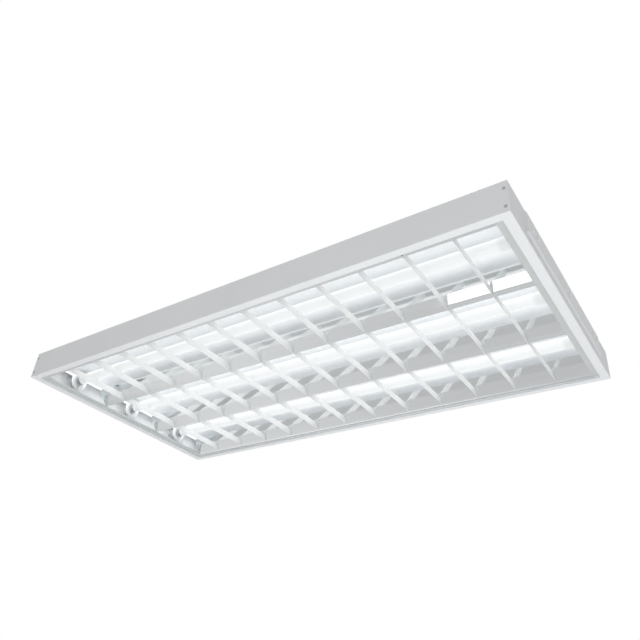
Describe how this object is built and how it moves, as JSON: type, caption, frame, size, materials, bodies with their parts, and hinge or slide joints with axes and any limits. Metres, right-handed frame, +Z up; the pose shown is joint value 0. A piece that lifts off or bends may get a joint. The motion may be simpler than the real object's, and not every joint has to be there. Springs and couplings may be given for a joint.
{
  "type": "recessed louvre light",
  "caption": "Recessed ceiling light: a flanged sheet-steel box with straight tube lamps behind a hinged mirror louvre with white cross blades.",
  "frame": {"origin": "centre of the lower face, level with the ceiling", "axes": "+X along the lamps towards the end with the mains inlet, +Y across them towards the hinged long side, +Z up into the ceiling void"},
  "size_m": [1.253, 0.6202, 0.068],
  "materials": {
    "white_housing": "white powder coat, satin",
    "white_plastic": "moulded, semi gloss",
    "rivet_aluminium": "bare, slightly dull",
    "contact_brass": "bright",
    "lamp_glass": "white phosphor coat inside, lit",
    "cap_aluminium": "drawn, bright",
    "bright_aluminium": "anodised, mirror bright",
    "satin_aluminium": "anodised, satin",
    "white_blade": "white, satin",
    "zinc_steel": "zinc plated",
    "grey_plastic": "moulded, matt",
    "gear_steel": "white, satin",
    "board_green": "solder mask, components dark",
    "black_rubber": "matt",
    "lead_pvc": "smooth sheath"
  },
  "bodies": {
    "housing": {"cable_grommet": "black_rubber", "corner_rivets": "rivet_aluminium", "earth_screw": "contact_brass", "end_plate_left": "white_housing", "end_plate_right": "white_housing", "gear_case": "gear_steel", "gear_circuit_board": "board_green", "gear_cover": "gear_steel", "gear_screws": "zinc_steel", "hinge_brackets": "zinc_steel", "hinge_pins": "zinc_steel", "housing_tray": "white_housing", "lamp_contacts": "contact_brass", "lampholder_cover_left": "white_housing", "lampholder_cover_right": "white_housing", "lampholder_left_1": "white_plastic", "lampholder_left_2": "white_plastic", "lampholder_left_3": "white_plastic", "lampholder_right_1": "white_plastic", "lampholder_right_2": "white_plastic", "lampholder_right_3": "white_plastic", "loom_clips": "grey_plastic", "mains_leads": "lead_pvc", "mains_terminal": "white_plastic", "wiring_loom_left": "lead_pvc", "wiring_loom_right": "lead_pvc"},
    "louvre": {"cross_blade_01": "white_blade", "cross_blade_02": "white_blade", "cross_blade_03": "white_blade", "cross_blade_04": "white_blade", "cross_blade_05": "white_blade", "cross_blade_06": "white_blade", "cross_blade_07": "white_blade", "cross_blade_08": "white_blade", "cross_blade_09": "white_blade", "cross_blade_10": "white_blade", "cross_blade_11": "white_blade", "cross_blade_12": "white_blade", "latch_guides": "zinc_steel", "louvre_knuckles": "zinc_steel", "louvre_rail_left": "satin_aluminium", "louvre_rail_right": "satin_aluminium", "side_mirror_far": "bright_aluminium", "side_mirror_near": "bright_aluminium", "v_mirror_1": "bright_aluminium", "v_mirror_2": "bright_aluminium"},
    "lamp_1": {"lamp_1_caps": "cap_aluminium", "lamp_1_pins": "contact_brass", "lamp_1_rotors": "white_plastic", "lamp_1_tube": "lamp_glass"},
    "lamp_2": {"lamp_2_caps": "cap_aluminium", "lamp_2_pins": "contact_brass", "lamp_2_rotors": "white_plastic", "lamp_2_tube": "lamp_glass"},
    "lamp_3": {"lamp_3_caps": "cap_aluminium", "lamp_3_pins": "contact_brass", "lamp_3_rotors": "white_plastic", "lamp_3_tube": "lamp_glass"},
    "latch_left": {"latch_left": "grey_plastic"},
    "latch_right": {"latch_right": "grey_plastic"}
  },
  "joints": [
    {"name": "louvre_swing", "type": "hinge", "parent": "housing", "child": "louvre", "pos_m": [0, 0.287, 0.0095], "axis": [1, 0, 0], "range_deg": [0, 90]},
    {"name": "lamp_1_turn", "type": "hinge", "parent": "housing", "child": "lamp_1", "pos_m": [0, -0.188, 0.0423], "axis": [1, 0, 0], "range_deg": [0, 90]},
    {"name": "lamp_2_turn", "type": "hinge", "parent": "housing", "child": "lamp_2", "pos_m": [0, 0, 0.0423], "axis": [1, 0, 0], "range_deg": [0, 90]},
    {"name": "lamp_3_turn", "type": "hinge", "parent": "housing", "child": "lamp_3", "pos_m": [0, 0.188, 0.0423], "axis": [1, 0, 0], "range_deg": [0, 90]},
    {"name": "latch_left_slide", "type": "slide", "parent": "louvre", "child": "latch_left", "axis": [0, 1, 0], "range_m": [0, 0.0045], "stiffness_N_per_m": 400, "springref_m": -0.003},
    {"name": "latch_right_slide", "type": "slide", "parent": "louvre", "child": "latch_right", "axis": [0, 1, 0], "range_m": [0, 0.0045], "stiffness_N_per_m": 400, "springref_m": -0.003}
  ]
}
